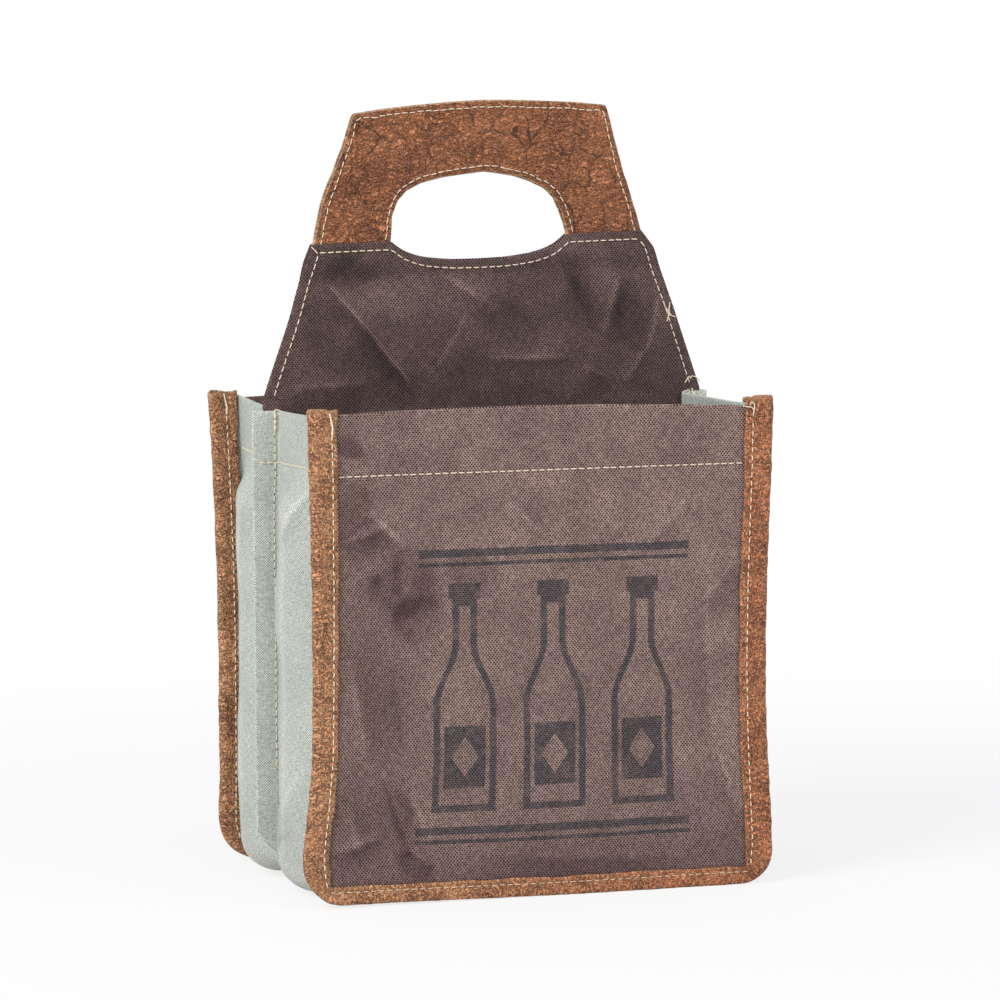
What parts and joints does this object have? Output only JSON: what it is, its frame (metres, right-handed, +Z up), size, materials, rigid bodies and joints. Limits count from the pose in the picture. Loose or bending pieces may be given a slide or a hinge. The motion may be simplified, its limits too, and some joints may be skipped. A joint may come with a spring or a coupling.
{
  "type": "bottle carrier",
  "caption": "Sewn canvas bottle carrier with leather-bound walls, pleated side gussets, a centre divider and a leather grip on a panel that folds at the rim.",
  "frame": {"origin": "on the floor under the middle of the carrier", "axes": "+X across the width, -Y towards the front wall, +Z up"},
  "size_m": [0.22, 0.15, 0.355],
  "materials": {
    "brown_canvas": "waxed cotton canvas, taupe brown, matt with paler creases",
    "sage_canvas": "plain cotton canvas, pale sage, matt",
    "binding_leather": "split leather, tan brown, matt with a fuzzy cut edge",
    "handle_leather": "pull-up leather, tan brown, crackled grain with a slight sheen"
  },
  "bodies": {
    "bag": {"front_panel": "brown_canvas", "back_panel": "brown_canvas", "front_binding": "binding_leather", "back_binding": "binding_leather", "left_gusset": "sage_canvas", "right_gusset": "sage_canvas", "base_panel": "sage_canvas", "divider_front": "brown_canvas", "divider_back": "brown_canvas"},
    "handle": {"handle_canvas_front": "brown_canvas", "handle_canvas_back": "brown_canvas", "handle_leather_front": "handle_leather", "handle_leather_back": "handle_leather"}
  },
  "joints": [
    {"name": "handle_fold", "type": "hinge", "parent": "bag", "child": "handle", "pos_m": [0, 0, 0.222], "axis": [1, 0, 0], "range_deg": [-80, 80]}
  ]
}
